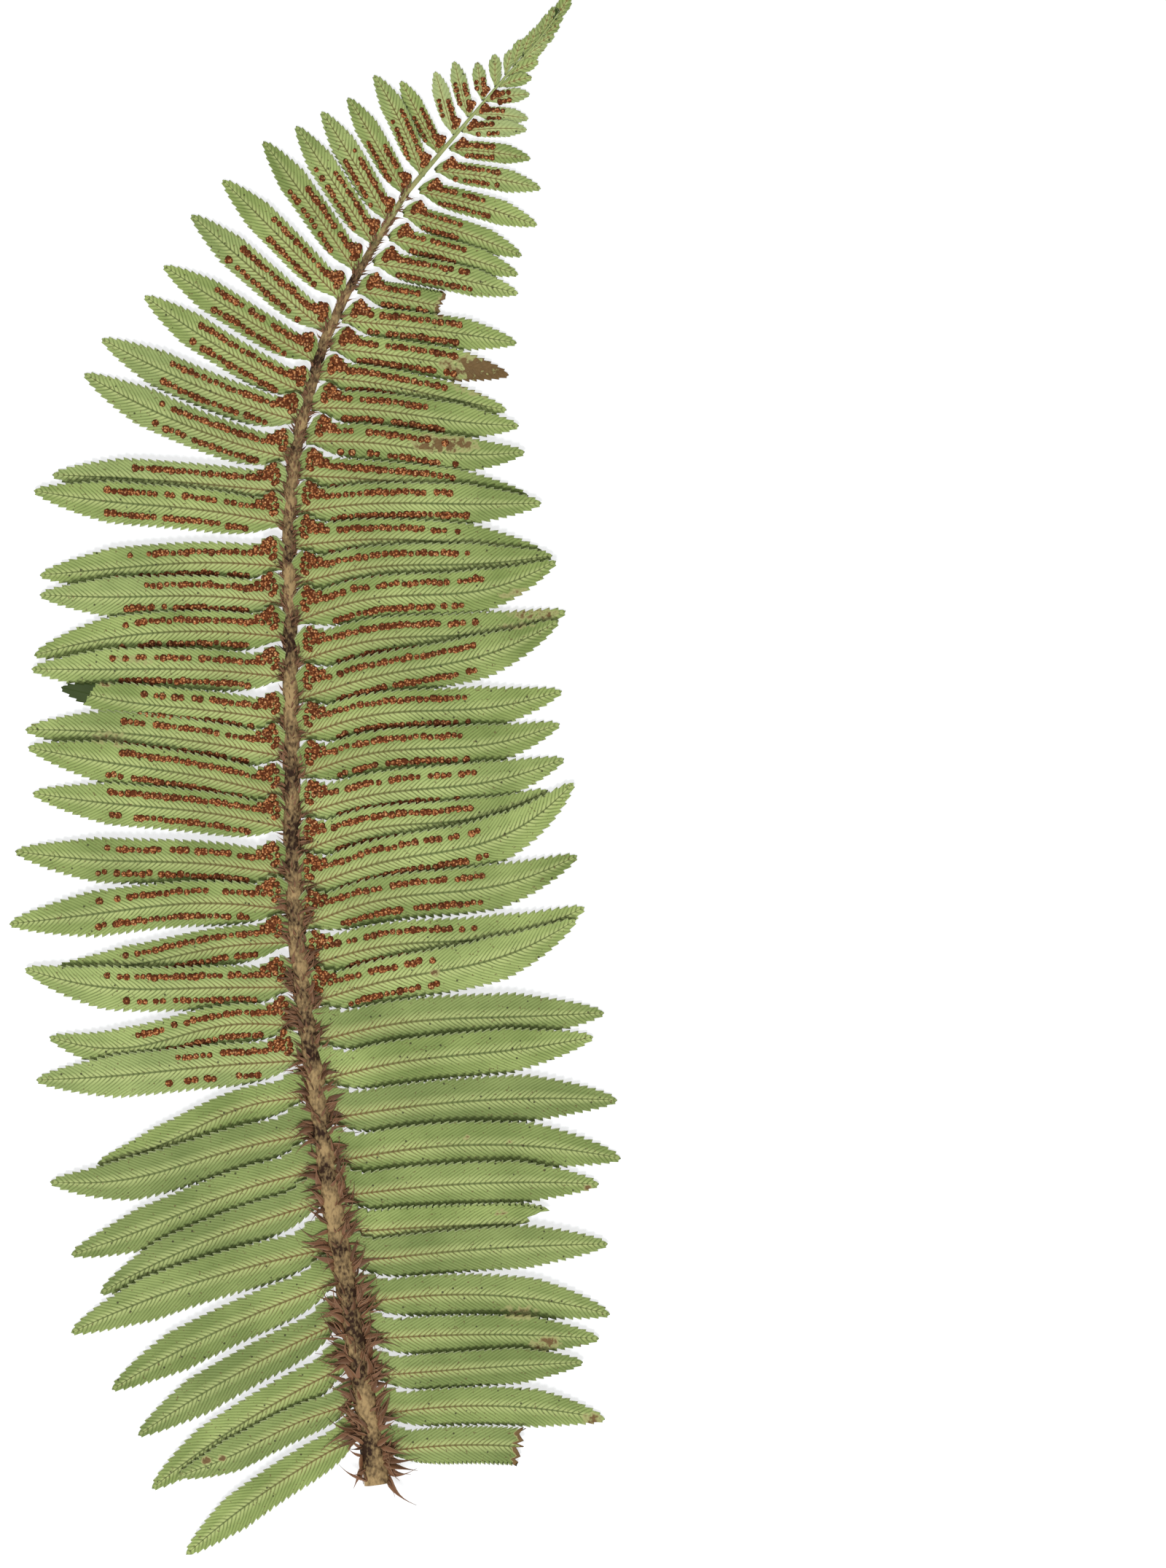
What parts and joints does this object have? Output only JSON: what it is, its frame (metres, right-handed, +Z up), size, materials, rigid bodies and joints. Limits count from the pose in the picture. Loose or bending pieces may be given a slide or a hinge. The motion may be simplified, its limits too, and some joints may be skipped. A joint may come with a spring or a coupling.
{
  "type": "western sword fern frond",
  "caption": "Cut frond of western sword fern lying underside up, with toothed leaflets that have ear-shaped bases, on a curved stalk with a coat of brown chaffy scales.",
  "frame": {"origin": "middle of the bounding box, at the level of the surface that the frond lies on", "axes": "+Z up, out of the surface and out of the frond's underside; +Y from the cut end towards the tip; +X to the right as seen from above"},
  "size_m": [0.1134, 0.2892, 0.0045],
  "materials": {
    "leaf_green": "satin",
    "scale_brown": "matte"
  },
  "bodies": {
    "root": {"frond": "leaf_green", "rachis_scales": "scale_brown"}
  },
  "joints": []
}
